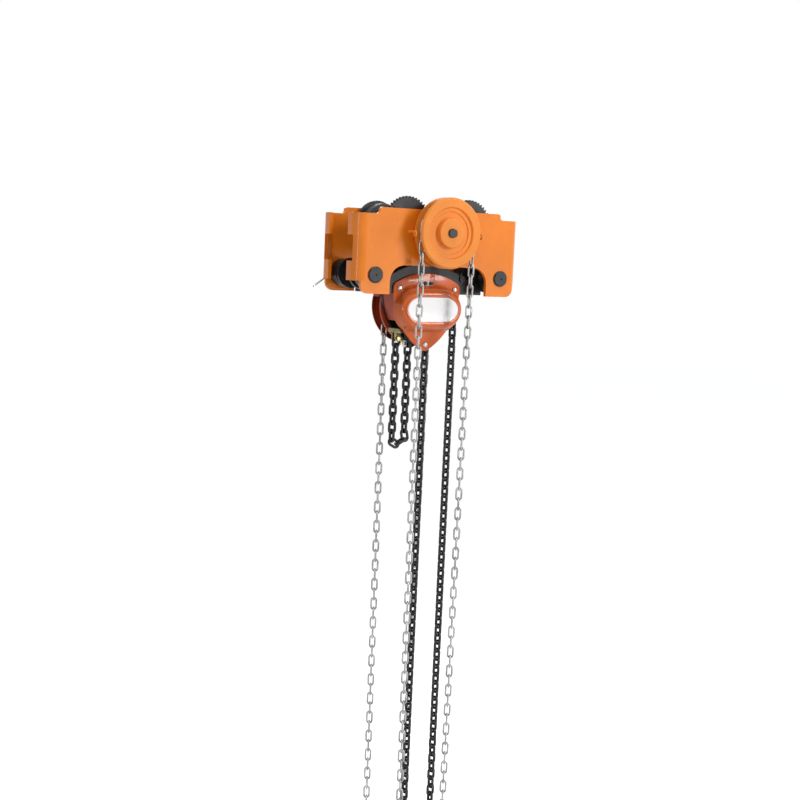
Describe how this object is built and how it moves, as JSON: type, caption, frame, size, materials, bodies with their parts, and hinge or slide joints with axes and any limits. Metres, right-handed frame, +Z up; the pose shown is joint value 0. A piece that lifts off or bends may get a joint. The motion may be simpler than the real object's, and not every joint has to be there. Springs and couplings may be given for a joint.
{
  "type": "geared hoist trolley",
  "caption": "Geared beam trolley with a hand chain hoist built between its side plates, its chains and lower hook.",
  "frame": {"origin": "middle of the trolley on the top face of the beam's lower flange, where the wheels roll", "axes": "+X along the beam to the right, +Y across the beam away from the trolley hand wheel, +Z up"},
  "size_m": [0.4611, 0.264, 1.7978],
  "materials": {
    "orange_paint": "gloss",
    "coral_paint": "gloss",
    "red_paint": "gloss",
    "black_steel": "satin",
    "bright_steel": "satin",
    "bronze": "satin",
    "yellow_zinc": "satin",
    "friction_lining": "matte",
    "white_label": "gloss",
    "black_chain": "satin",
    "zinc_chain": "satin"
  },
  "bodies": {
    "trolley": {"front_side_plate": "orange_paint", "rear_side_plate": "orange_paint", "load_bars": "black_steel", "bar_nuts": "black_steel", "split_pins": "bright_steel", "spacer_collars": "black_steel", "spacer_washers": "bright_steel", "front_suspension_plate": "black_steel", "rear_suspension_plate": "black_steel", "stay_bolts": "bright_steel", "wheel_axles": "black_steel", "axle_rings": "bright_steel", "wheel_bushes": "bronze", "pinion_bush": "bronze", "trolley_chain_guide": "orange_paint", "trolley_hand_chain": "zinc_chain", "gear_cover": "coral_paint", "name_plate": "white_label", "cover_screws": "bright_steel", "mark_plate": "white_label", "mark_nuts": "black_steel", "sheave_bearings": "bright_steel", "pawl_pin": "bright_steel", "brake_cover": "red_paint", "hand_wheel_cover": "red_paint", "cover_nuts": "bright_steel", "load_chain_guide": "black_steel", "side_covers": "red_paint", "slack_anchor": "yellow_zinc", "anchor_pin": "bright_steel", "load_anchor_pin": "bright_steel", "load_chain": "black_chain", "lower_falls": "black_chain", "hoist_hand_chain": "zinc_chain"},
    "geared_wheel_left": {"geared_wheel_left": "black_steel"},
    "geared_wheel_right": {"geared_wheel_right": "black_steel"},
    "plain_wheel_left": {"plain_wheel_left": "black_steel"},
    "plain_wheel_right": {"plain_wheel_right": "black_steel"},
    "pinion": {"pinion_shaft": "black_steel", "trolley_hand_wheel": "orange_paint"},
    "sheave": {"load_sheave": "black_steel", "load_gear": "black_steel"},
    "disc_left": {"disc_gear_left": "black_steel"},
    "disc_right": {"disc_gear_right": "black_steel"},
    "drive": {"drive_shaft": "bright_steel", "brake_hub": "black_steel", "friction_discs": "friction_lining", "ratchet_disc": "black_steel", "hoist_hand_wheel": "coral_paint"},
    "pawl": {"pawl": "black_steel"},
    "block": {"block_cheeks": "orange_paint", "block_bolts": "bright_steel", "crosshead": "black_steel", "idler_pin": "bright_steel", "idler_chain": "black_chain"},
    "idler": {"idler_sheave": "black_steel"},
    "hook": {"hook": "black_steel", "hook_nut": "bright_steel", "latch_pin": "bright_steel"},
    "latch": {"safety_latch": "bright_steel"}
  },
  "joints": [
    {"name": "left_wheel_spin", "type": "hinge", "parent": "trolley", "child": "geared_wheel_left", "pos_m": [-0.086, 0, 0.047], "axis": [0, 1, 0], "continuous": true},
    {"name": "right_wheel_spin", "type": "hinge", "parent": "trolley", "child": "geared_wheel_right", "pos_m": [0.086, 0, 0.047], "axis": [0, 1, 0], "continuous": true},
    {"name": "rear_left_wheel_spin", "type": "hinge", "parent": "trolley", "child": "plain_wheel_left", "pos_m": [-0.086, 0, 0.047], "axis": [0, 1, 0], "continuous": true},
    {"name": "rear_right_wheel_spin", "type": "hinge", "parent": "trolley", "child": "plain_wheel_right", "pos_m": [0.086, 0, 0.047], "axis": [0, 1, 0], "continuous": true},
    {"name": "pinion_spin", "type": "hinge", "parent": "trolley", "child": "pinion", "pos_m": [0, 0, 0.02834], "axis": [0, 1, 0], "continuous": true},
    {"name": "sheave_spin", "type": "hinge", "parent": "trolley", "child": "sheave", "pos_m": [0, 0, -0.15], "axis": [0, -1, 0], "range_deg": [0, 2520]},
    {"name": "disc_left_spin", "type": "hinge", "parent": "trolley", "child": "disc_left", "pos_m": [-0.042, 0, -0.15], "axis": [0, -1, 0], "continuous": true},
    {"name": "disc_right_spin", "type": "hinge", "parent": "trolley", "child": "disc_right", "pos_m": [0.042, 0, -0.15], "axis": [0, -1, 0], "continuous": true},
    {"name": "drive_spin", "type": "hinge", "parent": "trolley", "child": "drive", "pos_m": [0, 0, -0.15], "axis": [0, -1, 0], "continuous": true},
    {"name": "pawl_swing", "type": "hinge", "parent": "trolley", "child": "pawl", "pos_m": [-0.04, 0, -0.106], "axis": [0, -1, 0], "range_deg": [0, 15], "stiffness_Nm_per_rad": 0.02, "springref_deg": -11.46},
    {"name": "hook_lift", "type": "slide", "parent": "trolley", "child": "block", "axis": [0, 0, 1], "range_m": [0, 0.589], "deforming": ["lower_falls"]},
    {"name": "idler_spin", "type": "hinge", "parent": "block", "child": "idler", "pos_m": [0.06407, 0, -1.494], "axis": [0, -1, 0], "continuous": true},
    {"name": "hook_swivel", "type": "hinge", "parent": "block", "child": "hook", "pos_m": [0.06407, 0, -1.644], "axis": [0, 0, 1], "continuous": true},
    {"name": "latch_swing", "type": "hinge", "parent": "hook", "child": "latch", "pos_m": [0.07707, 0, -1.6], "axis": [0, 1, 0], "range_deg": [0, 20], "stiffness_Nm_per_rad": 0.05, "springref_deg": -11.46}
  ],
  "couplings": [
    {"joint": "right_wheel_spin", "follows": "left_wheel_spin", "ratio": 1},
    {"joint": "pinion_spin", "follows": "left_wheel_spin", "ratio": -2.3684},
    {"joint": "disc_left_spin", "follows": "sheave_spin", "ratio": -2.5},
    {"joint": "disc_right_spin", "follows": "sheave_spin", "ratio": -2.5},
    {"joint": "drive_spin", "follows": "sheave_spin", "ratio": 9.1667},
    {"joint": "hook_lift", "follows": "sheave_spin", "m_per_rad": 0.013369},
    {"joint": "idler_spin", "follows": "sheave_spin", "ratio": -0.33333}
  ]
}
